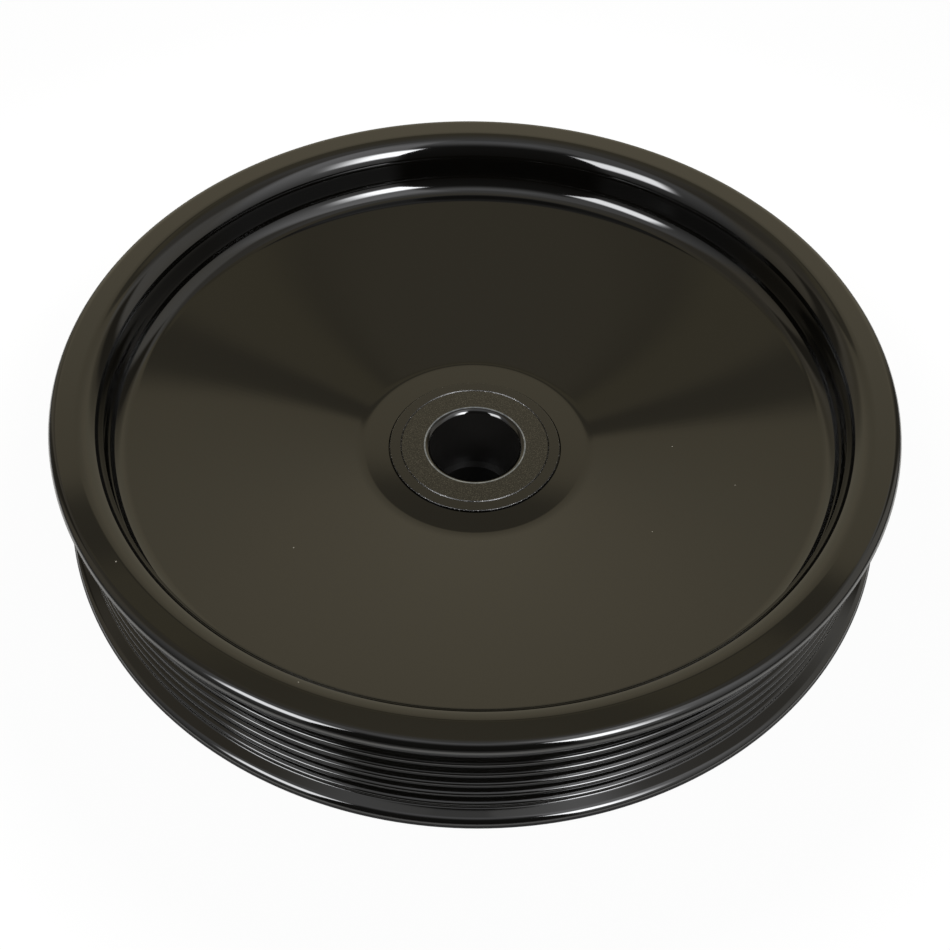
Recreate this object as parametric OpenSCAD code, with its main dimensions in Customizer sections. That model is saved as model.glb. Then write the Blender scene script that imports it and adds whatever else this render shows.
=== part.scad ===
// Power steering pump pulley.
// A steel sheet is dished, folded double at the rim and rolled into belt grooves, and its web
// is swaged onto a turned hub. Both pieces are revolved about the bore axis. Radii are measured
// from that axis, and the profiles' heights from the hub's pump face, which the shaft enters.
// The part stands on the hub's other end, at height zero.

/* [Sheet] */
// Thickness of the steel sheet that the shell is formed from
sheet_t = 2.15; // [1.8:0.05:2.4]

/* [Rim] */
// Height of the two belt flanges beyond the ridges
flange_h = 3; // [2.5:0.05:6]
// Height of the folded flange above the hub's pump face
flange_rise = 20.15; // [18:0.05:24]
// Thickness of the sheet in the folded flange, where it is pressed flat
fold_t = 1.9; // [1.5:0.05:2.4]
// Radius of the bend from the folded flange into the dish
rim_bend_r = 4.9; // [3.2:0.1:5]
// Lean of the flange faces that guide the belt, in degrees
flange_flare = 16.7; // [8:0.1:24]
// Radius in the corner between the folded flange and its land
land_fillet_r = 0.5; // [0.2:0.05:0.7]
// Radius in the corner between the lower flange and its land
skirt_fillet_r = 0.4; // [0.1:0.05:0.5]
// Rounding of the lower flange's edge on the belt side
edge_r = 1.65; // [1.1:0.05:1.9]
// Height of the lower flange's edge below its rounding's centre
edge_back_h = 0.7; // [0.4:0.05:0.9]
// Radius of the bend from the grooved drum into the lower flange, inside the drum
skirt_bend_r = 2.2; // [1:0.1:3]

/* [Belt grooves] */
// Number of grooves
groove_count = 5; // [3:1:5]
// Distance from one groove to the next
groove_pitch = 3.56; // [3.3:0.02:3.7]
// Diameter over the ridges between the grooves
crest_d = 164.3; // [162.5:0.1:165]
// Angle between the two flanks of a groove, in degrees
groove_angle = 40; // [36:1:46]
// Width of a ridge where its flanks meet the crest
crest_w = 1.1; // [0.9:0.05:1.3]
// Radius of the ridge edges
crest_edge_r = 0.3; // [0.1:0.05:0.35]
// Radius of the groove floor
root_r = 0.25; // [0.15:0.05:0.45]
// Plain land between the folded flange and the first groove
upper_land = 3.9; // [1:0.05:4.5]
// Plain land between the last groove and the lower flange
lower_land = 0.65; // [0.6:0.05:1.5]

/* [Web] */
// Rise of the web from the boss to the dish wall, in degrees
web_angle = 10; // [8:0.5:11]
// Radius in the corner between the web and the dish wall
dish_fillet_r = 4.3; // [3:0.1:5]
// Diameter of the flatter boss round the hub
boss_d = 47.4; // [44:0.2:54]
// Depth of the boss edge below the hub's pump face
boss_drop = 0.4; // [0.2:0.05:0.6]
// Rise of the boss, in degrees
boss_angle = 4; // [2:0.5:6]
// Width left open where the fold closes onto the drum
fold_gap = 0.15; // [0.1:0.05:0.3]

/* [Hub] */
// Length of the hub along the shaft
hub_len = 26; // [25:0.5:32]
// Diameter of the turned body and of its end collar
hub_d = 35; // [33:0.5:38]
// Diameter of the spigot that passes through the web
spigot_d = 31.2; // [30:0.2:32]
// Radial clearance between the spigot and the web's hole
spigot_fit = 0.05; // [0.02:0.01:0.1]
// Width of the lip that is swaged over the web
lip_w = 2.4; // [1.5:0.1:3]
// Bevel on the lip's outer edge
lip_bevel = 0.2; // [0.1:0.05:0.3]
// Width of the witness mark between the lip and the hub face
mark_w = 0.3; // [0.2:0.05:0.5]
// Depth of the witness mark
mark_depth = 0.15; // [0.1:0.05:0.3]
// Distance from the boss edge in to the shoulder that backs the web
shoulder_inset = 2.2; // [1:0.1:3]
// Thickness of the shoulder at its edge
shoulder_t = 3.8; // [3:0.1:5]
// Bevel on the turned outer edges
hub_bevel = 0.8; // [0.4:0.1:1.2]

/* [Bore and puller groove] */
// Diameter of the press fit bore
bore_d = 19.05; // [18:0.05:20]
// Depth of the bore from the pump face
bore_depth = 16.6; // [14:0.1:18]
// Width of the lead-in bevel at the pump face
lead_w = 1.15; // [0.8:0.05:1.4]
// Depth of the lead-in bevel
lead_depth = 0.7; // [0.5:0.05:1]
// Diameter of the tool hole beyond the bore
tool_hole_d = 15.8; // [13:0.1:17]
// Bevel at the tool hole's mouth
tool_bevel = 1; // [0.5:0.1:1.5]
// Diameter at the floor of the puller groove
puller_d = 29; // [27:0.5:30]
// Width of the puller groove
puller_w = 4.5; // [3.5:0.1:5.5]
// Width of the collar beyond the puller groove
collar_w = 4.5; // [3.5:0.1:6]

/* [Hidden] */
$fn = 180;
arc_step = 7.5;
enamel = [0.1, 0.095, 0.08];
hub_enamel = [0.13, 0.12, 0.1];

// Grooves
crest_r = crest_d / 2;
rim_r = crest_r + flange_h;
half_angle = groove_angle / 2;
opening_w = groove_pitch - crest_w;
root_centre_r = crest_r - (opening_w / 2 - root_r / cos(half_angle)) / tan(half_angle);
groove_floor_r = root_centre_r - root_r;
edge_setback = crest_edge_r * tan((90 - half_angle) / 2);

// Radii of the drum behind the grooves and of the dish wall that lies against it
drum_r = groove_floor_r - sheet_t;
dish_r = drum_r - sheet_t;

// Folded flange
fold_c = [rim_r - fold_t, flange_rise - fold_t];
rim_bend_c = [dish_r + rim_bend_r, flange_rise - rim_bend_r];
upper_corner_z = fold_c[1] - fold_t / cos(flange_flare)
    - (fold_c[0] - crest_r) * tan(flange_flare);

// Grooved band, from its first groove's upper edge to its last groove's lower edge
band_top_z = upper_corner_z - upper_land;
band_bottom_z = band_top_z - groove_count * groove_pitch + crest_w;
first_groove_z = band_top_z - opening_w / 2;

// Lower flange, with a round edge
lower_corner_z = band_bottom_z - lower_land;
edge_c = [
    rim_r - edge_r,
    lower_corner_z - (rim_r - edge_r - crest_r) * tan(flange_flare) - edge_r / cos(flange_flare)
];
skirt_z = edge_c[1] - edge_back_h;

// Web and dish fillet
boss_r = boss_d / 2;
dish_fillet_c = [
    dish_r - dish_fillet_r,
    -boss_drop + (dish_r - dish_fillet_r - boss_r) * tan(web_angle) + dish_fillet_r / cos(web_angle)
];
fold_outer_r = dish_fillet_r + sheet_t;
fold_end_a = acos(1 - fold_gap / fold_outer_r);

// Hub
spigot_r = spigot_d / 2;
lip_r = spigot_r + lip_w;
shoulder_r = boss_r - shoulder_inset;
hub_r = hub_d / 2;
puller_r = puller_d / 2;
bore_r = bore_d / 2;
tool_hole_r = tool_hole_d / 2;
shoulder_z = boss_under(shoulder_r) - shoulder_t;
collar_z = -hub_len + collar_w;

// Points along an arc about c, from angle a0 to a1
function arc(c, r, a0, a1) =
    let (n = ceil(abs(a1 - a0) / arc_step))
    [for (i = [0:n]) c + r * [cos(a0 + (a1 - a0) * i / n), sin(a0 + (a1 - a0) * i / n)]];

// Height of the boss's upper and lower faces at radius r
function boss_top(r) = -boss_drop - (boss_r - r) * tan(boss_angle);
function boss_under(r) = boss_top(r) - sheet_t / cos(boss_angle);

// Outline of one groove centred on height z, with its two ridge edges
function groove(z) = concat(
    arc([crest_r - crest_edge_r, z + opening_w / 2 + edge_setback], crest_edge_r, 0, half_angle - 90),
    arc([root_centre_r, z], root_r, 90 + half_angle, 270 - half_angle),
    arc([crest_r - crest_edge_r, z - opening_w / 2 - edge_setback], crest_edge_r, 90 - half_angle, 0)
);

// Upper face of the sheet, from the hub's hole out to the end of the rim's fold
function visible_face() = concat(
    [[spigot_r + spigot_fit, boss_top(spigot_r + spigot_fit)], [boss_r, -boss_drop]],
    arc(dish_fillet_c, dish_fillet_r, web_angle - 90, 0),
    arc(rim_bend_c, rim_bend_r, 180, 90),
    arc(fold_c, fold_t, 90, flange_flare - 90)
);

// Belt side, from the folded flange down to the lower flange's edge
function belt_face() = concat(
    arc([
        crest_r + land_fillet_r,
        upper_corner_z + land_fillet_r * (tan(flange_flare) - 1 / cos(flange_flare))
    ], land_fillet_r, 90 + flange_flare, 180),
    [for (i = [0:groove_count - 1]) each groove(first_groove_z - i * groove_pitch)],
    arc([
        crest_r + skirt_fillet_r,
        lower_corner_z - skirt_fillet_r * (tan(flange_flare) - 1 / cos(flange_flare))
    ], skirt_fillet_r, 180, 270 - flange_flare),
    arc(edge_c, edge_r, 90 - flange_flare, -asin(edge_back_h / edge_r))
);

// Inside of the drum and underside of the web, back to the hub's hole
function hidden_face() = let (mitre_a = (web_angle + boss_angle) / 2) concat(
    arc([drum_r + skirt_bend_r, skirt_z + skirt_bend_r], skirt_bend_r, 270, 180),
    [[drum_r, dish_fillet_c[1] - fold_outer_r * sin(fold_end_a)]],
    arc(dish_fillet_c, fold_outer_r, -fold_end_a, web_angle - 90),
    [
        [boss_r, -boss_drop] + sheet_t / cos((web_angle - boss_angle) / 2) * [sin(mitre_a), -cos(mitre_a)],
        [spigot_r + spigot_fit, boss_under(spigot_r + spigot_fit)]
    ]
);

// Outer outline of the hub, from the witness mark on its pump face to the end collar
function hub_outside() = [
    [spigot_r - mark_w / 2, 0],
    [spigot_r, -mark_depth],
    [spigot_r + mark_w / 2, 0],
    [lip_r - lip_bevel, 0],
    [lip_r, -lip_bevel],
    [lip_r, boss_top(lip_r)],
    [spigot_r, boss_top(spigot_r)],
    [spigot_r, boss_under(spigot_r)],
    [shoulder_r, boss_under(shoulder_r)],
    [shoulder_r, shoulder_z + hub_bevel],
    [shoulder_r - hub_bevel, shoulder_z],
    [hub_r, shoulder_z],
    [hub_r, collar_z + puller_w],
    [puller_r, collar_z + puller_w],
    [puller_r, collar_z],
    [hub_r, collar_z],
    [hub_r, -hub_len + hub_bevel],
    [hub_r - hub_bevel, -hub_len]
];

// Bore, from the tool hole's mouth up to the lead-in bevel
function hub_inside() = [
    [tool_hole_r + tool_bevel, -hub_len],
    [tool_hole_r, -hub_len + tool_bevel],
    [tool_hole_r, -bore_depth],
    [bore_r, -bore_depth],
    [bore_r, -lead_depth],
    [bore_r + lead_w, 0]
];

// Folded, rolled and grooved sheet steel shell
module pulley_shell() {
    color(enamel)
        translate([0, 0, hub_len])
            rotate_extrude()
                polygon(concat(visible_face(), belt_face(), hidden_face()));
}

// Turned hub, swaged through the web
module hub() {
    color(hub_enamel)
        translate([0, 0, hub_len])
            rotate_extrude()
                polygon(concat(hub_outside(), hub_inside()));
}

pulley_shell();
hub();
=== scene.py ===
"""Looks of a power steering pump pulley: a folded sheet shell and a turned hub in gloss black enamel.

Section sizes are in millimetres, as a drawing gives them. Radii are measured from the bore axis and
heights from the hub's pump face, and the builders turn both into metres in the frame's own place.
"""

import logging
import math
from dataclasses import dataclass, field
from enum import Enum

import bpy
from mathutils import Matrix, Vector


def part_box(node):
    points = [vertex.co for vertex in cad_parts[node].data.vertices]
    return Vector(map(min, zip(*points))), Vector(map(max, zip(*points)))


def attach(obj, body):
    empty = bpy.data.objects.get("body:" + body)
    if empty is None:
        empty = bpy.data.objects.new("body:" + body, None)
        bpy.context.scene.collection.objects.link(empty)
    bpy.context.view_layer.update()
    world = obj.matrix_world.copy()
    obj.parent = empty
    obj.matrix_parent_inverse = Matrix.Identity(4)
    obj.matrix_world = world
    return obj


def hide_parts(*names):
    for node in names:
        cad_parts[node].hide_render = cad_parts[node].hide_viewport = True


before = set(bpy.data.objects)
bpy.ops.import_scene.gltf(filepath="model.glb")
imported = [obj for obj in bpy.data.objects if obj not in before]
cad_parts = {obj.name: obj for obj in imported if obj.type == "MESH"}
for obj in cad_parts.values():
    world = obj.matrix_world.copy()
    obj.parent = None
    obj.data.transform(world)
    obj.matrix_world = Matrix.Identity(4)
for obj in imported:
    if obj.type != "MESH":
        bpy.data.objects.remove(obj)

MM = 0.001
BODY = "root"
SHELL_NODE = "pulley_shell"
HUB_NODE = "hub"

Point = tuple[float, float]
Colour = tuple[float, float, float, float]
Feed = float | Colour | bpy.types.NodeSocket
WHITE: Colour = (1, 1, 1, 1)

logging.basicConfig(level=logging.INFO, format="%(name)s: %(message)s")
log = logging.getLogger("pulley")


def deselect_all() -> None:
    """Leave nothing selected, so that an operator acts on the new piece alone."""
    bpy.ops.object.select_all(action="DESELECT")


def arc(centre: Point, radius: float, start: float, end: float, step: float = 5.0) -> list[Point]:
    """Work out the points of a round stretch of a section.

    Args:
        centre: Centre of the arc as radius and height, in millimetres.
        radius: Radius of the arc, in millimetres.
        start: Angle of the first point, in degrees.
        end: Angle of the last point, in degrees.
        step: Largest turn between two points, in degrees.

    Returns:
        The points from start to end, both included.
    """
    count = max(1, math.ceil(abs(end - start) / step))
    points = []
    for index in range(count + 1):
        angle = math.radians(start + (end - start) * index / count)
        points.append((centre[0] + radius * math.cos(angle), centre[1] + radius * math.sin(angle)))
    return points


def with_holding_points(outline: list[Point], hold: float, shortest: float) -> list[Point]:
    """Add a point close to both ends of each long straight stretch, so that shading stays flat there.

    Args:
        outline: The closed section's corners, in order.
        hold: Distance of an added point from its corner, in millimetres.
        shortest: Length from which a stretch gets added points, in millimetres.

    Returns:
        The section's corners with the added points among them.
    """
    held = []
    for here, there in zip(outline, outline[1:] + outline[:1]):
        held.append(here)
        length = math.dist(here, there)
        if length > shortest:
            across, along = there[0] - here[0], there[1] - here[1]
            for share in (hold / length, 1 - hold / length):
                held.append((here[0] + across * share, here[1] + along * share))
    return held


@dataclass
class TurnedPiece:
    """A closed section that is spun about the bore axis.

    Attributes:
        name: Name of the finished piece.
        outline: Corners of the section, in millimetres.
        datum: Height of the pump face above the frame's origin, in millimetres.
        steps: Number of turns that the spin makes.
        weld: Distance within which doubles are merged, in metres.
        crease: Angle from which an edge stays sharp, in degrees.
    """

    name: str
    outline: list[Point]
    datum: float
    steps: int = 256
    weld: float = 1e-6
    crease: float = 24.0

    def build(self) -> bpy.types.Object:
        """Draw the section with extruded edges and spin it into a solid.

        Returns:
            The finished object, with its place in its mesh.
        """
        deselect_all()
        first = Vector((self.outline[0][0] * MM, 0.0, (self.outline[0][1] + self.datum) * MM))
        bpy.ops.mesh.primitive_plane_add(size=MM, location=first)
        piece = bpy.context.object
        piece.name = self.name
        piece.data.name = self.name
        bpy.ops.object.mode_set(mode="EDIT")
        bpy.ops.mesh.merge(type="CENTER")
        here = self.outline[0]
        for there in self.outline[1:] + self.outline[:1]:
            move = ((there[0] - here[0]) * MM, 0.0, (there[1] - here[1]) * MM)
            bpy.ops.mesh.extrude_region_move(TRANSFORM_OT_translate={"value": move})
            here = there
        bpy.ops.mesh.select_all(action="SELECT")
        bpy.ops.mesh.remove_doubles(threshold=self.weld)
        bpy.ops.mesh.select_all(action="SELECT")
        bpy.ops.mesh.spin(steps=self.steps, angle=math.tau, center=(0, 0, 0), axis=(0, 0, 1))
        bpy.ops.mesh.select_all(action="SELECT")
        bpy.ops.mesh.remove_doubles(threshold=self.weld)
        bpy.ops.mesh.normals_make_consistent(inside=False)
        bpy.ops.object.mode_set(mode="OBJECT")
        bpy.ops.object.transform_apply(location=True, rotation=True, scale=True)
        bpy.ops.object.shade_smooth_by_angle(angle=math.radians(self.crease))
        return piece


@dataclass
class SheetShell:
    """The sheet steel shell: web, dish wall, double flange, grooved drum and lower flange.

    Lengths are in millimetres and angles in degrees. The radii of the section start at the bore axis,
    and those of its bends, fillets and edges at their own centres.
    """

    rim_r: float
    flange_z: float
    datum: float
    sheet_t: float = 2.15
    fold_t: float = 1.9
    rim_bend_r: float = 4.9
    flange_flare: float = 16.7
    land_fillet_r: float = 0.5
    skirt_fillet_r: float = 0.4
    edge_r: float = 1.65
    edge_back_h: float = 0.7
    skirt_bend_r: float = 2.2
    groove_count: int = 5
    groove_pitch: float = 3.56
    crest_r: float = 82.15
    half_angle: float = 20.0
    crest_w: float = 1.1
    crest_edge_r: float = 0.52
    root_r: float = 0.25
    upper_land: float = 3.9
    lower_land: float = 0.65
    web_angle: float = 10.0
    dish_fillet_r: float = 4.3
    boss_r: float = 24.3
    boss_drop: float = 0.4
    boss_bend_r: float = 12.0
    moat_r: float = 18.05
    moat_w: float = 0.2
    moat_depth: float = 0.3
    hole_r: float = 15.65
    fold_gap: float = 0.15
    piece: bpy.types.Object | None = field(default=None, init=False)

    @property
    def lean(self) -> tuple[float, float]:
        """Tangent of the flange faces' lean and the inverse of its cosine."""
        angle = math.radians(self.flange_flare)
        return math.tan(angle), 1 / math.cos(angle)

    @property
    def opening_w(self) -> float:
        """Width of a groove at the crest."""
        return self.groove_pitch - self.crest_w

    @property
    def root_centre_r(self) -> float:
        """Radius at which the round floor of a groove is centred."""
        half = math.radians(self.half_angle)
        return self.crest_r - (self.opening_w / 2 - self.root_r / math.cos(half)) / math.tan(half)

    @property
    def drum_r(self) -> float:
        """Radius of the drum's inside."""
        return self.root_centre_r - self.root_r - self.sheet_t

    @property
    def dish_r(self) -> float:
        """Radius of the dish wall, which lies against the drum."""
        return self.drum_r - self.sheet_t

    @property
    def fold_centre(self) -> Point:
        """Centre of the fold at the upper flange's edge."""
        return self.rim_r - self.fold_t, self.flange_z - self.fold_t

    @property
    def upper_corner_z(self) -> float:
        """Height at which the upper flange's underside meets the drum."""
        lean, slant = self.lean
        return self.fold_centre[1] - self.fold_t * slant - (self.fold_centre[0] - self.crest_r) * lean

    @property
    def band_top_z(self) -> float:
        """Height of the first groove's upper edge."""
        return self.upper_corner_z - self.upper_land

    @property
    def lower_corner_z(self) -> float:
        """Height at which the lower flange meets the drum."""
        return self.band_top_z - self.groove_count * self.groove_pitch + self.crest_w - self.lower_land

    @property
    def edge_centre(self) -> Point:
        """Centre of the lower flange's round edge."""
        lean, slant = self.lean
        radius = self.rim_r - self.edge_r
        return radius, self.lower_corner_z - (radius - self.crest_r) * lean - self.edge_r * slant

    @property
    def dish_fillet_centre(self) -> Point:
        """Centre of the fillet between the web and the dish wall."""
        slope = math.radians(self.web_angle)
        radius = self.dish_r - self.dish_fillet_r
        rise = (radius - self.boss_r) * math.tan(slope) + self.dish_fillet_r / math.cos(slope)
        return radius, rise - self.boss_drop

    def boss_top(self, radius: float) -> float:
        """Return the height of the boss's upper face at a radius, lower in the moat round the lip."""
        return -self.boss_drop - (self.moat_depth if radius < self.moat_r else 0.0)

    def boss_under(self, radius: float) -> float:
        """Return the height of the boss's lower face at a radius."""
        share = (self.boss_r - radius) / (self.boss_r - self.hole_r)
        return -self.boss_drop - self.sheet_t - self.moat_depth * share

    def groove(self, height: float) -> list[Point]:
        """Work out one groove and the ridge edges beside it.

        Args:
            height: Height of the groove's middle.

        Returns:
            The points from the upper ridge's edge down to the lower ridge's edge.
        """
        setback = self.crest_edge_r * math.tan(math.radians((90 - self.half_angle) / 2))
        edge_r = self.crest_r - self.crest_edge_r
        reach = self.opening_w / 2 + setback
        root = (self.root_centre_r, height)
        return (
            arc((edge_r, height + reach), self.crest_edge_r, 0, self.half_angle - 90, step=10)
            + arc(root, self.root_r, 90 + self.half_angle, 270 - self.half_angle, step=14)
            + arc((edge_r, height - reach), self.crest_edge_r, 90 - self.half_angle, 0, step=10)
        )

    def visible_face(self) -> list[Point]:
        """Work out the sheet's upper face.

        Returns:
            The points from the hub's hole to the end of the flange's fold.
        """
        bend_centre = (self.dish_r + self.rim_bend_r, self.flange_z - self.rim_bend_r)
        setback = self.boss_bend_r * math.tan(math.radians(self.web_angle / 2))
        boss_bend = (self.boss_r - setback, self.boss_bend_r - self.boss_drop)
        return (
            [(self.hole_r, self.boss_top(self.hole_r)), (self.moat_r, self.boss_top(self.hole_r))]
            + [(self.moat_r + self.moat_w, -self.boss_drop)]
            + arc(boss_bend, self.boss_bend_r, -90, self.web_angle - 90, step=2)
            + arc(self.dish_fillet_centre, self.dish_fillet_r, self.web_angle - 90, 0)
            + arc(bend_centre, self.rim_bend_r, 180, 90)
            + arc(self.fold_centre, self.fold_t, 90, self.flange_flare - 90)
        )

    def belt_face(self) -> list[Point]:
        """Work out the belt's side.

        Returns:
            The points from the upper flange's underside to the lower flange's edge.
        """
        lean, slant = self.lean
        upper_z = self.upper_corner_z - self.land_fillet_r * (slant - lean)
        lower_z = self.lower_corner_z + self.skirt_fillet_r * (slant - lean)
        upper = (self.crest_r + self.land_fillet_r, upper_z)
        lower = (self.crest_r + self.skirt_fillet_r, lower_z)
        points = arc(upper, self.land_fillet_r, 90 + self.flange_flare, 180, step=12)
        for index in range(self.groove_count):
            points += self.groove(self.band_top_z - self.opening_w / 2 - index * self.groove_pitch)
        points += arc(lower, self.skirt_fillet_r, 180, 270 - self.flange_flare, step=8)
        edge_end = -math.degrees(math.asin(self.edge_back_h / self.edge_r))
        return points + arc(self.edge_centre, self.edge_r, 90 - self.flange_flare, edge_end)

    def hidden_face(self) -> list[Point]:
        """Work out the inside of the drum and the underside of the web.

        Returns:
            The points from the lower flange's bend back to the hub's hole.
        """
        skirt_centre = (
            self.drum_r + self.skirt_bend_r,
            self.edge_centre[1] - self.edge_back_h + self.skirt_bend_r,
        )
        fold_r = self.dish_fillet_r + self.sheet_t
        fold_end = math.degrees(math.acos(1 - self.fold_gap / fold_r))
        fold_z = self.dish_fillet_centre[1] - fold_r * math.sin(math.radians(fold_end))
        mitre = math.radians(self.web_angle / 2)
        reach = self.sheet_t / math.cos(mitre)
        return (
            arc(skirt_centre, self.skirt_bend_r, 270, 180, step=10)
            + [(self.drum_r, fold_z)]
            + arc(self.dish_fillet_centre, fold_r, -fold_end, self.web_angle - 90, step=8)
            + [(self.boss_r + reach * math.sin(mitre), -self.boss_drop - reach * math.cos(mitre))]
            + [(self.hole_r, self.boss_under(self.hole_r))]
        )

    def build(self) -> None:
        """Spin the shell's section into one closed piece."""
        outline = self.visible_face() + self.belt_face() + self.hidden_face()
        outline = with_holding_points(outline, hold=0.12, shortest=0.6)
        self.piece = TurnedPiece("enamelled_shell", outline, self.datum).build()

    def dress(self, enamel: bpy.types.Material) -> None:
        """Give the shell its enamel and put it in the CAD node's place.

        Args:
            enamel: The enamel that covers the whole sheet.
        """
        self.piece.data.materials.append(enamel)
        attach(self.piece, BODY)
        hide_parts(SHELL_NODE)


class HubZone(Enum):
    """The hub's differently finished surfaces, each with its material slot."""

    BODY = 0
    FACE = 1
    LIP = 2
    MARK = 3
    BEVEL = 4
    BORE = 5
    RIM = 6


@dataclass
class TurnedHub:
    """The turned hub: swaged lip, spigot, shoulder, puller groove, bore and tool hole.

    Lengths are in millimetres and angles in degrees. The lead-in is an arc that turns by twice
    lead_round.
    """

    shell: SheetShell
    length: float
    hub_r: float = 17.5
    spigot_r: float = 15.6
    lip_w: float = 2.4
    lip_bevel: float = 0.2
    mark_w: float = 0.3
    mark_depth: float = 0.15
    shoulder_inset: float = 2.2
    shoulder_t: float = 3.8
    bevel: float = 0.8
    bore_r: float = 9.525
    bore_depth: float = 16.6
    lead_w: float = 1.15
    lead_depth: float = 0.7
    lead_round: float = 25.0
    rim_w: float = 0.15
    tool_hole_r: float = 7.9
    tool_bevel: float = 1.0
    puller_r: float = 14.5
    puller_w: float = 4.5
    collar_w: float = 4.5
    face_play: float = 0.0075
    piece: bpy.types.Object | None = field(default=None, init=False)

    def outside(self) -> list[Point]:
        """Work out the outer outline.

        Returns:
            The points from the witness mark on the pump face to the end collar.
        """
        lip_r = self.spigot_r + self.lip_w
        shoulder_r = self.shell.boss_r - self.shoulder_inset
        shoulder_z = self.shell.boss_under(shoulder_r) - self.shoulder_t
        collar_z = self.collar_w - self.length
        return [
            (self.spigot_r - self.mark_w / 2, 0.0),
            (self.spigot_r, -self.mark_depth),
            (self.spigot_r + self.mark_w / 2, 0.0),
            *arc((lip_r - self.lip_bevel, -self.lip_bevel), self.lip_bevel, 90, 0, step=15),
            (lip_r, self.shell.boss_top(lip_r)),
            (self.spigot_r, self.shell.boss_top(self.spigot_r)),
            (self.spigot_r, self.shell.boss_under(self.spigot_r)),
            (shoulder_r, self.shell.boss_under(shoulder_r)),
            (shoulder_r, shoulder_z + self.bevel),
            (shoulder_r - self.bevel, shoulder_z),
            (self.hub_r, shoulder_z),
            (self.hub_r, collar_z + self.puller_w),
            (self.puller_r, collar_z + self.puller_w),
            (self.puller_r, collar_z),
            (self.hub_r, collar_z),
            (self.hub_r, self.bevel - self.length),
            (self.hub_r - self.bevel, -self.length),
        ]

    def inside(self) -> list[Point]:
        """Work out the bore's outline.

        Returns:
            The points from the tool hole's mouth up to the end of the lead-in.
        """
        return [
            (self.tool_hole_r + self.tool_bevel, -self.length),
            (self.tool_hole_r, self.tool_bevel - self.length),
            (self.tool_hole_r, -self.bore_depth),
            (self.bore_r, -self.bore_depth),
            *self.lead_in(),
        ]

    def lead_in(self) -> list[Point]:
        """Work out the lead-in bevel, which is slightly round.

        Returns:
            The points from the bore up to the face.
        """
        start = 90 + math.degrees(math.atan2(self.lead_depth, self.lead_w)) + self.lead_round
        radius = math.hypot(self.lead_w, self.lead_depth) / 2 / math.sin(math.radians(self.lead_round))
        turn = math.radians(start)
        centre = (self.bore_r - radius * math.cos(turn), -self.lead_depth - radius * math.sin(turn))
        return arc(centre, radius, start, start - 2 * self.lead_round, step=8)

    def zone_at(self, radius: float, height: float) -> HubZone:
        """Say which finish the hub has at a place.

        Args:
            radius: Radius of a face's centre.
            height: Height of a face's centre above the pump face, so it is below zero.

        Returns:
            The zone that the face belongs to.
        """
        if abs(radius - self.bore_r - self.lead_w) < self.rim_w and height > -self.lead_depth:
            return HubZone.RIM
        if radius < self.bore_r + self.lead_w:
            if height > -self.lead_depth:
                return HubZone.BEVEL
            return HubZone.BORE if height > self.tool_bevel - self.length else HubZone.BODY
        lip_edge_r = self.spigot_r + self.lip_w - self.lip_bevel
        if height > -self.face_play:
            return HubZone.FACE if radius < self.spigot_r else HubZone.LIP
        if abs(radius - self.spigot_r) < self.mark_w / 2 and height > -self.mark_depth:
            return HubZone.MARK
        if radius > lip_edge_r and height > -self.lip_bevel:
            return HubZone.MARK
        return HubZone.BODY

    def build(self) -> None:
        """Spin the hub's section into one closed piece."""
        outline = with_holding_points(self.outside() + self.inside(), hold=0.1, shortest=0.5)
        self.piece = TurnedPiece("turned_hub", outline, self.length, steps=192).build()

    def dress(self, finishes: dict[HubZone, bpy.types.Material]) -> None:
        """Give each zone of the hub its finish and put the piece in the CAD node's place.

        Args:
            finishes: A material for each zone.
        """
        for zone in HubZone:
            self.piece.data.materials.append(finishes[zone])
        for face in self.piece.data.polygons:
            centre = face.center
            radius = math.hypot(centre.x, centre.y) / MM
            face.material_index = self.zone_at(radius, centre.z / MM - self.length).value
        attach(self.piece, BODY)
        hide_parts(HUB_NODE)


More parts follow.
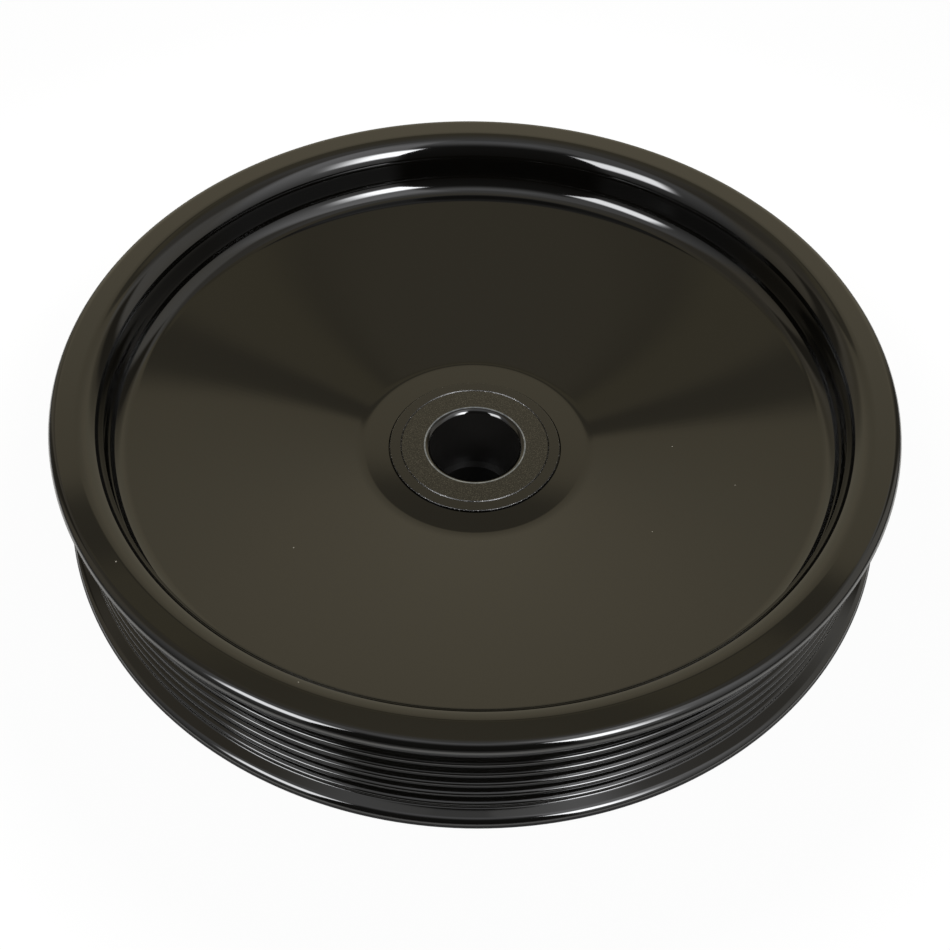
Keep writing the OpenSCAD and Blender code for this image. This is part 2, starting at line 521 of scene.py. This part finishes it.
@dataclass
class NodeBench:
    """A node tree with short calls for adding, setting and joining nodes.

    Attributes:
        tree: The node tree.
        mix_inputs: Places of a Mix node's two colours among its inputs.
        mix_output: Place of its mixed colour among its outputs.
    """

    tree: bpy.types.NodeTree
    mix_inputs: tuple[int, int] = (6, 7)
    mix_output: int = 2

    def add(self, kind: str, **settings: object) -> bpy.types.Node:
        """Add a node and give it its settings.

        Args:
            kind: Blender's name of the node type.
            settings: The node's own properties by name.

        Returns:
            The new node.
        """
        node = self.tree.nodes.new(kind)
        for name, value in settings.items():
            setattr(node, name, value)
        return node

    def feed(self, value: Feed, socket: bpy.types.NodeSocket) -> None:
        """Set a socket to a plain value, or link it to another node's output.

        Args:
            value: The plain value or the other node's output.
            socket: The input that gets it.
        """
        if isinstance(value, bpy.types.NodeSocket):
            self.tree.links.new(value, socket)
        else:
            socket.default_value = value

    def math(self, operation: str, *values: Feed, clamp: bool = False) -> bpy.types.NodeSocket:
        """Add a Math node.

        Args:
            operation: Blender's name of the operation.
            values: Its one to three inputs.
            clamp: Whether the result is held between 0 and 1.

        Returns:
            The node's output.
        """
        node = self.add("ShaderNodeMath", operation=operation, use_clamp=clamp)
        for value, socket in zip(values, node.inputs):
            self.feed(value, socket)
        return node.outputs[0]

    def blend(self, factor: Feed, first: Feed, second: Feed) -> bpy.types.NodeSocket:
        """Mix two colours.

        Args:
            factor: Share of the second colour.
            first: The first colour.
            second: The second colour.

        Returns:
            The mixed colour.
        """
        node = self.add("ShaderNodeMix", data_type="RGBA")
        self.feed(factor, node.inputs["Factor"])
        for value, place in zip((first, second), self.mix_inputs):
            self.feed(value, node.inputs[place])
        return node.outputs[self.mix_output]

    def steps(self, factor: Feed, low: float, high: float) -> bpy.types.NodeSocket:
        """Turn a number into a smooth rise.

        Args:
            factor: The number.
            low: Its value where the rise is 0.
            high: Its value where the rise is 1, which may lie below low.

        Returns:
            The rise, from 0 to 1.
        """
        node = self.add("ShaderNodeMapRange", interpolation_type="SMOOTHSTEP")
        self.feed(factor, node.inputs["Value"])
        node.inputs["From Min"].default_value = low
        node.inputs["From Max"].default_value = high
        return node.outputs["Result"]

    def ramp(self, factor: Feed, stops: tuple[tuple[float, Colour], ...]) -> bpy.types.NodeSocket:
        """Turn a number into a colour.

        Args:
            factor: The number.
            stops: The colours and their places, from 0 to 1.

        Returns:
            The ramp's colour.
        """
        node = self.add("ShaderNodeValToRGB")
        self.feed(factor, node.inputs["Fac"])
        elements = node.color_ramp.elements
        while len(elements) < len(stops):
            elements.new(0.5)
        for element, (place, colour) in zip(elements, stops):
            element.position = place
            element.color = colour
        return node.outputs["Color"]


class Effects:
    """The shader groups that several finishes share, each built once."""

    fine_ratio: float = 4.3
    smallest_speck: float = 0.3
    bare_level: float = 0.72
    bare_reach: float = 0.4
    bare_contrast: float = 14.0

    def __init__(self) -> None:
        """Build the groups."""
        self.peel = self.orange_peel()
        self.dust = self.dust_specks()
        self.grit = self.paint_grit()

    @staticmethod
    def new_group(name: str, inputs: dict[str, float], outputs: tuple[str, ...]) -> bpy.types.NodeTree:
        """Start a group that reads a place and some numbers.

        Args:
            name: The group's name.
            inputs: Its numbers and their usual values.
            outputs: The names of the masks or heights that it gives.

        Returns:
            The group's tree, with its input and output nodes.
        """
        tree = bpy.data.node_groups.new(name, "ShaderNodeTree")
        tree.interface.new_socket("Place", in_out="INPUT", socket_type="NodeSocketVector")
        for label, value in inputs.items():
            socket = tree.interface.new_socket(label, in_out="INPUT", socket_type="NodeSocketFloat")
            socket.default_value = value
        for label in outputs:
            tree.interface.new_socket(label, in_out="OUTPUT", socket_type="NodeSocketFloat")
        tree.nodes.new("NodeGroupInput")
        tree.nodes.new("NodeGroupOutput")
        return tree

    def orange_peel(self) -> bpy.types.NodeTree:
        """Build the slow waviness that sprayed enamel dries with."""
        tree = self.new_group("orange_peel", {"Wave Count": 160.0, "Fine Share": 0.25}, ("Height",))
        bench = NodeBench(tree)
        given = tree.nodes["Group Input"].outputs
        wave = bench.add("ShaderNodeTexNoise")
        bench.feed(given["Place"], wave.inputs["Vector"])
        bench.feed(given["Wave Count"], wave.inputs["Scale"])
        wave.inputs["Detail"].default_value = 1.0
        fine = bench.add("ShaderNodeTexNoise")
        bench.feed(given["Place"], fine.inputs["Vector"])
        bench.feed(bench.math("MULTIPLY", given["Wave Count"], self.fine_ratio), fine.inputs["Scale"])
        fine.inputs["Detail"].default_value = 1.0
        share = bench.math("MULTIPLY", fine.outputs["Fac"], given["Fine Share"])
        height = bench.math("ADD", wave.outputs["Fac"], share)
        bench.feed(height, tree.nodes["Group Output"].inputs["Height"])
        return tree

    def dust_specks(self) -> bpy.types.NodeTree:
        """Build sparse round specks of dust, each somewhere in a cell of its own."""
        numbers = {"Cell Count": 120.0, "Size": 0.12, "Share": 0.1}
        tree = self.new_group("dust_specks", numbers, ("Mask",))
        bench = NodeBench(tree)
        given = tree.nodes["Group Input"].outputs
        cells = bench.add("ShaderNodeTexVoronoi")
        bench.feed(given["Place"], cells.inputs["Vector"])
        bench.feed(given["Cell Count"], cells.inputs["Scale"])
        parts = bench.add("ShaderNodeSeparateColor")
        bench.feed(cells.outputs["Color"], parts.inputs["Color"])
        growth = bench.math("ADD", parts.outputs["Green"], self.smallest_speck)
        size = bench.math("MULTIPLY", given["Size"], growth)
        inside = bench.math("LESS_THAN", cells.outputs["Distance"], size)
        chosen = bench.math("LESS_THAN", parts.outputs["Red"], given["Share"])
        bench.feed(bench.math("MULTIPLY", inside, chosen), tree.nodes["Group Output"].inputs["Mask"])
        return tree

    def paint_grit(self) -> bpy.types.NodeTree:
        """Build the fine grit of paint over a coarse turned face."""
        numbers = {"Grain Count": 2600.0, "Bare Share": 0.1}
        tree = self.new_group("paint_grit", numbers, ("Height", "Bare"))
        bench = NodeBench(tree)
        given = tree.nodes["Group Input"].outputs
        grain = bench.add("ShaderNodeTexNoise")
        bench.feed(given["Place"], grain.inputs["Vector"])
        bench.feed(given["Grain Count"], grain.inputs["Scale"])
        grain.inputs["Detail"].default_value = 3.0
        grain.inputs["Roughness"].default_value = 0.7
        bench.feed(grain.outputs["Fac"], tree.nodes["Group Output"].inputs["Height"])
        reach = bench.math("MULTIPLY", given["Bare Share"], self.bare_reach)
        level = bench.math("SUBTRACT", self.bare_level, reach)
        above = bench.math("SUBTRACT", grain.outputs["Fac"], level)
        bare = bench.math("MULTIPLY", above, self.bare_contrast, clamp=True)
        bench.feed(bare, tree.nodes["Group Output"].inputs["Bare"])
        return tree


@dataclass(frozen=True)
class Finish:
    """What every finish on the pulley has: a name, a colour, a gloss and the groups it draws on."""

    name: str
    effects: Effects
    colour: Colour = (0.0009, 0.0008, 0.0006, 1.0)
    roughness: float = 0.05

    def start(self) -> tuple[bpy.types.Material, NodeBench, bpy.types.Node, bpy.types.NodeSocket]:
        """Start the material.

        Returns:
            The material, its bench, its shader and the Object coordinates.
        """
        made = bpy.data.materials.new(self.name)
        made.use_nodes = True
        bench = NodeBench(made.node_tree)
        place = bench.add("ShaderNodeTexCoord").outputs["Object"]
        return made, bench, made.node_tree.nodes["Principled BSDF"], place

    @staticmethod
    def effect(
        bench: NodeBench, tree: bpy.types.NodeTree, place: Feed, **values: float
    ) -> bpy.types.Node:
        """Place a shared group in a material.

        Args:
            bench: The material's bench.
            tree: The group.
            place: The coordinates that it reads.
            values: Its numbers, with underscores for the blanks in their names.

        Returns:
            The group's node.
        """
        node = bench.add("ShaderNodeGroup", node_tree=tree)
        bench.feed(place, node.inputs["Place"])
        for name, value in values.items():
            node.inputs[name.replace("_", " ")].default_value = value
        return node

    @staticmethod
    def raise_surface(bench: NodeBench, shader: bpy.types.Node, height: Feed, depth: float) -> None:
        """Lead a height through a bump into the shader.

        Args:
            bench: The material's bench.
            shader: The material's shader.
            height: The height, from 0 to 1.
            depth: What a height of 1 stands for, in metres.
        """
        bump = bench.add("ShaderNodeBump")
        bump.inputs["Distance"].default_value = depth
        bench.feed(height, bump.inputs["Height"])
        bench.feed(bump.outputs["Normal"], shader.inputs["Normal"])


@dataclass(frozen=True)
class GlossEnamel(Finish):
    """Sprayed gloss black enamel with a little orange peel and dust."""

    peel_depth: float = 0.0000012
    dust: float = 0.1
    dust_colour: Colour = (0.16, 0.15, 0.13, 1.0)
    dust_roughness: float = 0.5

    def material(self) -> bpy.types.Material:
        """Build the enamel's material."""
        made, bench, shader, place = self.start()
        peel = self.effect(bench, self.effects.peel, place, Wave_Count=170.0, Fine_Share=0.2)
        self.raise_surface(bench, shader, peel.outputs["Height"], self.peel_depth)
        specks = self.effect(
            bench, self.effects.dust, place, Cell_Count=170.0, Size=0.024, Share=self.dust
        )
        colour = bench.blend(specks.outputs["Mask"], self.colour, self.dust_colour)
        bench.feed(colour, shader.inputs["Base Color"])
        rough = bench.math("MULTIPLY_ADD", specks.outputs["Mask"], self.dust_roughness, self.roughness)
        bench.feed(rough, shader.inputs["Roughness"])
        return made


@dataclass(frozen=True)
class GrittyEnamel(Finish):
    """Thin enamel over a coarse face, with bare metal at the tips of its grain."""

    grain_depth: float = 0.00001
    bare: float = 0.1
    shine: float = 1.0
    metal: Colour = (0.42, 0.41, 0.4, 1.0)
    metal_roughness: float = 0.2

    def material(self) -> bpy.types.Material:
        """Build the gritty enamel's material."""
        made, bench, shader, place = self.start()
        grit = self.effect(bench, self.effects.grit, place, Grain_Count=4200.0, Bare_Share=self.bare)
        self.raise_surface(bench, shader, grit.outputs["Height"], self.grain_depth)
        bare = grit.outputs["Bare"]
        bench.feed(bench.blend(bare, self.colour, self.metal), shader.inputs["Base Color"])
        bench.feed(bench.math("MULTIPLY", bare, self.shine), shader.inputs["Metallic"])
        rough = bench.math("MULTIPLY_ADD", bare, self.metal_roughness, self.roughness)
        bench.feed(rough, shader.inputs["Roughness"])
        return made


@dataclass(frozen=True)
class BareSteel(Finish):
    """Turned steel without paint, with a faint grain."""

    grain_depth: float = 0.000002
    dark_place: float = 0.35
    bright_place: float = 0.75
    bright_colour: Colour = (0.33, 0.36, 0.43, 1.0)

    def material(self) -> bpy.types.Material:
        """Build the bare steel's material."""
        made, bench, shader, place = self.start()
        grit = self.effect(bench, self.effects.grit, place, Grain_Count=900.0, Bare_Share=0.0)
        self.raise_surface(bench, shader, grit.outputs["Height"], self.grain_depth)
        stops = ((self.dark_place, self.colour), (self.bright_place, self.bright_colour))
        bench.feed(bench.ramp(grit.outputs["Height"], stops), shader.inputs["Base Color"])
        shader.inputs["Metallic"].default_value = 1.0
        shader.inputs["Roughness"].default_value = self.roughness
        return made


@dataclass(frozen=True)
class SoftBox:
    """A tall soft box that shines on the pulley and fades towards one upright side.

    Attributes:
        name: Name of the lamp.
        azimuth: Its direction from the far side, rising to the right, in degrees.
        elevation: Its height above the floor, in degrees.
        radiance: How bright its face is.
        fade: Shares of its width where it is dark and where it is full.
        width: Its width, in metres.
        height: Its height, in metres.
        distance: Its distance from the pulley, in metres.
        colour: Its tint.
        end_fade: Share of its height over which both ends fade.
        falloff: Power that bends the fade across its width.
    """

    name: str
    azimuth: float
    elevation: float
    radiance: float
    fade: tuple[float, float]
    width: float = 1.5
    height: float = 1.75
    distance: float = 3.0
    colour: tuple[float, float, float] = (0.97, 0.98, 1.0)
    end_fade: float = 0.3
    falloff: float = 2.0

    def hang(self) -> None:
        """Put the soft box in the scene, turned to the pulley."""
        turn = math.radians(self.azimuth)
        rise = math.radians(self.elevation)
        away = Vector((math.sin(turn) * math.cos(rise), math.cos(turn) * math.cos(rise), math.sin(rise)))
        data = bpy.data.lights.new(self.name, "AREA")
        data.shape = "RECTANGLE"
        data.size = self.width
        data.size_y = self.height
        data.energy = self.radiance * math.pi * self.width * self.height
        data.color = self.colour
        self.soften(data)
        lamp = bpy.data.objects.new(self.name, data)
        lamp.visible_camera = False
        lamp.location = away * self.distance
        lamp.rotation_euler = away.to_track_quat("Z", "Y").to_euler()
        bpy.context.collection.objects.link(lamp)

    def soften(self, data: bpy.types.Light) -> None:
        """Let the box fade across its width, and at its upper and lower ends.

        Args:
            data: The area light that gets the nodes.
        """
        data.use_nodes = True
        bench = NodeBench(data.node_tree)
        parts = bench.add("ShaderNodeSeparateXYZ")
        bench.feed(bench.add("ShaderNodeNewGeometry").outputs["Parametric"], parts.inputs["Vector"])
        across = bench.math("POWER", bench.steps(parts.outputs["X"], *self.fade), self.falloff)
        below = bench.steps(parts.outputs["Y"], 0.0, self.end_fade)
        above = bench.steps(parts.outputs["Y"], 1.0, 1.0 - self.end_fade)
        strength = bench.math("MULTIPLY", across, bench.math("MULTIPLY", below, above))
        bench.feed(strength, data.node_tree.nodes["Emission"].inputs["Strength"])


@dataclass
class Studio:
    """Floor, surround, lamps and camera round the pulley.

    Directions are azimuths from the far side, rising to the right, and elevations, in degrees. Each wall
    of the room has its colours by elevation, and a pair of azimuths between which it takes over from
    the last one. The camera's distance and aim are in millimetres, and its lens fits a 36 mm sensor.
    """

    hub_top: float
    elevation: float = 49.95
    roll: float = 1.37
    distance: float = 327.87
    lens: float = 58.74
    aim: tuple[float, float, float] = (0.19, -5.115, -4.013)
    lamps: tuple[SoftBox, ...] = (
        SoftBox("right_soft_box", 140.0, 38.0, 27.0, (1.0, 0.25)),
        SoftBox("left_soft_box", -131.0, 38.0, 17.0, (0.0, 0.3), width=1.35),
    )
    behind: tuple[tuple[float, Colour], ...] = (
        (0, (0.92, 0.83, 0.62, 1)),
        (24, (1.05, 0.95, 0.68, 1)),
        (34, (1.12, 0.99, 0.7, 1)),
        (40, (1.08, 0.95, 0.67, 1)),
        (44, (1.0, 0.89, 0.63, 1)),
        (49.5, (0.92, 0.81, 0.56, 1)),
        (50.6, (0.4, 0.36, 0.26, 1)),
        (52.3, (0.38, 0.34, 0.25, 1)),
        (53.3, (0.6, 0.53, 0.36, 1)),
        (56, (0.6, 0.53, 0.35, 1)),
        (57.5, (0.46, 0.41, 0.29, 1)),
        (60, (0.55, 0.49, 0.35, 1)),
        (66, (0.57, 0.51, 0.38, 1)),
        (76, (0.66, 0.62, 0.53, 1)),
        (84, (0.74, 0.72, 0.67, 1)),
        (90, (0.82, 0.81, 0.78, 1)),
    )
    left: tuple[tuple[float, Colour], ...] = (
        (0, (0.5, 0.44, 0.33, 1)),
        (20, (0.7, 0.63, 0.48, 1)),
        (38, (0.76, 0.68, 0.53, 1)),
        (50, (0.5, 0.45, 0.35, 1)),
        (64, (0.48, 0.43, 0.34, 1)),
        (74, (0.62, 0.58, 0.5, 1)),
        (90, (0.82, 0.81, 0.78, 1)),
    )
    right: tuple[tuple[float, Colour], ...] = (
        (0, (0.8, 0.76, 0.68, 1)),
        (20, (1.0, 0.96, 0.87, 1)),
        (46, (1.05, 1.02, 0.95, 1)),
        (53, (0.55, 0.52, 0.46, 1)),
        (64, (0.55, 0.52, 0.46, 1)),
        (74, (0.8, 0.78, 0.74, 1)),
        (90, (0.82, 0.81, 0.78, 1)),
    )
    glow: tuple[tuple[float, Colour], ...] = (
        (0, (0.6, 0.6, 0.59, 1)),
        (20, (1.2, 1.2, 1.2, 1)),
        (45, (2.0, 2.0, 2.02, 1)),
        (72, (2.6, 2.6, 2.65, 1)),
        (80, (1.5, 1.5, 1.5, 1)),
        (87, (0.82, 0.81, 0.78, 1)),
    )
    haze: tuple[tuple[float, Colour], ...] = (
        (0, (0.3, 0.3, 0.29, 1)),
        (20, (0.6, 0.6, 0.6, 1)),
        (45, (0.9, 0.9, 0.9, 1)),
        (60, (1.1, 1.1, 1.1, 1)),
        (78, (1.1, 1.1, 1.1, 1)),
        (87, (0.82, 0.81, 0.78, 1)),
    )
    facing: tuple[tuple[float, Colour], ...] = (
        (0, (0.05, 0.05, 0.05, 1)),
        (48, (0.09, 0.09, 0.09, 1)),
        (55, (0.3, 0.3, 0.3, 1)),
        (62, (0.8, 0.8, 0.8, 1)),
        (70, (1.3, 1.31, 1.33, 1)),
        (77, (1.3, 1.32, 1.35, 1)),
        (83, (0.8, 0.8, 0.8, 1)),
        (90, (0.82, 0.81, 0.78, 1)),
    )
    side_azimuths: tuple[float, float] = (-20.0, 20.0)
    panel: Colour = (0.6, 0.53, 0.38, 1)
    panel_azimuths: tuple[float, float] = (52.0, 44.0)
    panel_rises: tuple[float, float] = (47.0, 39.0)
    gap: Colour = (0.2, 0.18, 0.14, 1.0)
    gap_centres: tuple[float, float] = (-64.0, 52.0)
    gap_reaches: tuple[float, float] = (11.0, 4.0)
    behind_azimuths: tuple[float, float] = (42.0, 30.0)
    behind_tilt: float = -0.06
    glow_azimuths: tuple[float, float] = (92.0, 112.0)
    haze_azimuths: tuple[float, float] = (-88.0, -108.0)
    facing_azimuths: tuple[float, float] = (33.0, 26.0)
    facing_turn: float = 5.0
    floor_size: float = 12.0
    floor_scale: float = 3.0
    floor_glow: float = 0.97
    # Painted shade and light in the floor's base colour, by distance from the pulley: a painted shadow
    # close round it, a painted bright ring, and painted dark far out.
    floor_painted_shade: tuple[tuple[float, Colour], ...] = (
        (0.315, (0.15, 0.15, 0.15, 1)),
        (0.36, (0.5, 0.5, 0.5, 1)),
        (0.39, (0.85, 0.85, 0.84, 1)),
        (0.53, (0.85, 0.85, 0.84, 1)),
        (0.62, (0.45, 0.45, 0.45, 1)),
        (0.88, (0.13, 0.13, 0.13, 1)),
    )

    def place_camera(self) -> None:
        """Put the camera at the photograph's angle."""
        tilt = math.radians(self.elevation)
        turn = math.radians(self.roll)
        look = Vector((0.0, math.cos(tilt), -math.sin(tilt)))
        up = Vector((0.0, math.sin(tilt), math.cos(tilt)))
        right = Vector((1.0, 0.0, 0.0))
        side = right * math.cos(turn) + up * math.sin(turn)
        head = up * math.cos(turn) - right * math.sin(turn)
        aim = Vector(self.aim) + Vector((0.0, 0.0, self.hub_top))
        data = bpy.data.cameras.new("photo_camera")
        data.lens = self.lens
        data.clip_start = 0.01
        camera = bpy.data.objects.new("photo_camera", data)
        bpy.context.collection.objects.link(camera)
        turned = Matrix((side, head, -look)).transposed().to_4x4()
        turned.translation = (aim - look * self.distance) * MM
        camera.matrix_world = turned
        bpy.context.scene.camera = camera

    def lay_floor(self) -> None:
        """Lay a floor, white to the camera with a faint shadow, and with painted shade in its base colour:
        a painted shadow round the pulley, a painted bright ring and painted dark far out, which
        reflections and bounce light show and the camera shows faintly.
        """
        deselect_all()
        bpy.ops.mesh.primitive_plane_add(size=self.floor_size)
        floor = bpy.context.object
        floor.name = "floor"
        made = bpy.data.materials.new("white_floor_with_painted_shade")
        made.use_nodes = True
        bench = NodeBench(made.node_tree)
        shader = made.node_tree.nodes["Principled BSDF"]
        # The floor's base colour is painted shade by distance from the pulley: a painted shadow near it, a
        # painted bright ring and painted dark far out.
        away = bench.add("ShaderNodeVectorMath", operation="LENGTH")
        bench.feed(bench.add("ShaderNodeTexCoord").outputs["Object"], away.inputs[0])
        place = bench.math("MULTIPLY", away.outputs["Value"], self.floor_scale)
        bench.feed(bench.ramp(place, self.floor_painted_shade), shader.inputs["Base Color"])
        shader.inputs["Roughness"].default_value = 0.9
        shader.inputs["Specular IOR Level"].default_value = 0.0
        glow = bench.add("ShaderNodeEmission")
        seen = bench.add("ShaderNodeLightPath").outputs["Is Camera Ray"]
        mix = bench.add("ShaderNodeMixShader")
        bench.feed(bench.math("MULTIPLY", seen, self.floor_glow), mix.inputs["Fac"])
        bench.feed(shader.outputs["BSDF"], mix.inputs[1])
        bench.feed(glow.outputs["Emission"], mix.inputs[2])
        bench.feed(mix.outputs["Shader"], made.node_tree.nodes["Material Output"].inputs["Surface"])
        floor.data.materials.append(made)

    @staticmethod
    def by_height(stops: tuple[tuple[float, Colour], ...]) -> tuple[tuple[float, Colour], ...]:
        """Turn stops at elevations into stops along a ramp from 0 to 1."""
        return tuple((elevation / 90, colour) for elevation, colour in stops)

    def walls(self, bench: NodeBench, azimuth: Feed, rise: Feed) -> bpy.types.NodeSocket:
        """Build the walls at both sides and behind, up to the glow and the haze beside the camera.

        Args:
            bench: The world's bench.
            azimuth: Azimuth of a direction, in degrees.
            rise: Its elevation, as a share of 90 degrees.

        Returns:
            The room's colour in that direction.
        """
        away = bench.math("ABSOLUTE", azimuth)
        left = bench.ramp(rise, self.by_height(self.left))
        right = bench.ramp(rise, self.by_height(self.right))
        colour = bench.blend(bench.steps(azimuth, *self.side_azimuths), left, right)
        panel = bench.blend(bench.steps(away, *self.panel_azimuths), colour, self.panel)
        low = bench.steps(rise, *(elevation / 90 for elevation in self.panel_rises))
        colour = bench.blend(low, colour, panel)
        for centre in self.gap_centres:
            off = bench.math("ABSOLUTE", bench.math("SUBTRACT", azimuth, centre))
            inside = bench.math("MULTIPLY", bench.steps(off, *self.gap_reaches), low)
            colour = bench.blend(inside, colour, self.gap)
        tilted = bench.math("MULTIPLY_ADD", azimuth, self.behind_tilt / 90, rise)
        behind = bench.ramp(tilted, self.by_height(self.behind))
        colour = bench.blend(bench.steps(away, *self.behind_azimuths), colour, behind)
        glow = bench.ramp(rise, self.by_height(self.glow))
        colour = bench.blend(bench.steps(azimuth, *self.glow_azimuths), colour, glow)
        haze = bench.ramp(rise, self.by_height(self.haze))
        return bench.blend(bench.steps(azimuth, *self.haze_azimuths), colour, haze)

    def surround(self) -> None:
        """Build the room: its walls, its dark camera side, and plain white for the camera itself."""
        world = bpy.data.worlds.new("surround")
        bpy.context.scene.world = world
        world.use_nodes = True
        bench = NodeBench(world.node_tree)
        parts = bench.add("ShaderNodeSeparateXYZ")
        bench.feed(bench.add("ShaderNodeTexCoord").outputs["Generated"], parts.inputs["Vector"])
        azimuth = bench.math("ARCTAN2", parts.outputs["X"], parts.outputs["Y"])
        azimuth = bench.math("MULTIPLY", azimuth, 180 / math.pi)
        rise = bench.math("MULTIPLY", bench.math("ARCSINE", parts.outputs["Z"]), 2 / math.pi)
        colour = self.walls(bench, azimuth, rise)
        backward = [bench.math("MULTIPLY", parts.outputs[axis], -1.0) for axis in "XY"]
        turned = bench.math("ARCTAN2", *backward)
        turned = bench.math("MULTIPLY_ADD", turned, 180 / math.pi, -self.facing_turn)
        turned = bench.math("ABSOLUTE", turned)
        facing = bench.ramp(rise, self.by_height(self.facing))
        colour = bench.blend(bench.steps(turned, *self.facing_azimuths), colour, facing)
        seen = bench.add("ShaderNodeLightPath").outputs["Is Camera Ray"]
        colour = bench.blend(seen, colour, WHITE)
        bench.feed(colour, world.node_tree.nodes["Background"].inputs["Color"])
        bpy.context.scene.view_settings.view_transform = "Standard"

    def set_up(self) -> None:
        """Set up the whole studio."""
        self.lay_floor()
        self.surround()
        for lamp in self.lamps:
            lamp.hang()
        self.place_camera()


def hub_finishes(effects: Effects, enamel: bpy.types.Material) -> dict[HubZone, bpy.types.Material]:
    """Build the finishes of the hub's zones.

    Args:
        effects: The shared shader groups.
        enamel: The enamel of the shell, which also covers the hub's body and lead-in.

    Returns:
        A material for each zone.
    """
    brown_metal = (0.026, 0.023, 0.015, 1.0)
    blue_steel = (0.15, 0.175, 0.23, 1.0)
    soot_black = (0.004, 0.0037, 0.0033, 1.0)
    face = GrittyEnamel(
        "gritty_face_enamel", effects, roughness=0.26, bare=0.46, shine=0.1, metal=brown_metal
    )
    edge = GrittyEnamel("worn_edge_enamel", effects, roughness=0.3, bare=0.3, grain_depth=0.00004)
    steel = BareSteel("turned_steel", effects, colour=blue_steel, roughness=0.35)
    lip = GlossEnamel("lip_enamel", effects, roughness=0.24, dust=0.0)
    bore = GlossEnamel("bore_black", effects, colour=soot_black, roughness=0.36, dust=0.0)
    return {
        HubZone.BODY: enamel,
        HubZone.FACE: face.material(),
        HubZone.LIP: lip.material(),
        HubZone.MARK: edge.material(),
        HubZone.BEVEL: enamel,
        HubZone.BORE: bore.material(),
        HubZone.RIM: steel.material(),
    }


def main() -> None:
    """Build the pulley's pieces in order, dress them and set up the studio."""
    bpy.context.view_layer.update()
    shell_low, shell_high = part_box(SHELL_NODE)
    hub_low, hub_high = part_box(HUB_NODE)
    hub_length = (hub_high[2] - hub_low[2]) / MM
    effects = Effects()
    enamel = GlossEnamel("gloss_black_enamel", effects).material()
    shell = SheetShell(
        rim_r=(shell_high[0] - shell_low[0]) / 2 / MM,
        flange_z=shell_high[2] / MM - hub_length,
        datum=hub_length,
    )
    shell.build()
    shell.dress(enamel)
    log.info("%s: %d faces", shell.piece.name, len(shell.piece.data.polygons))
    hub = TurnedHub(shell, hub_length)
    hub.build()
    hub.dress(hub_finishes(effects, enamel))
    log.info("%s: %d faces", hub.piece.name, len(hub.piece.data.polygons))
    Studio(hub_length).set_up()


if __name__ == "__main__":
    main()
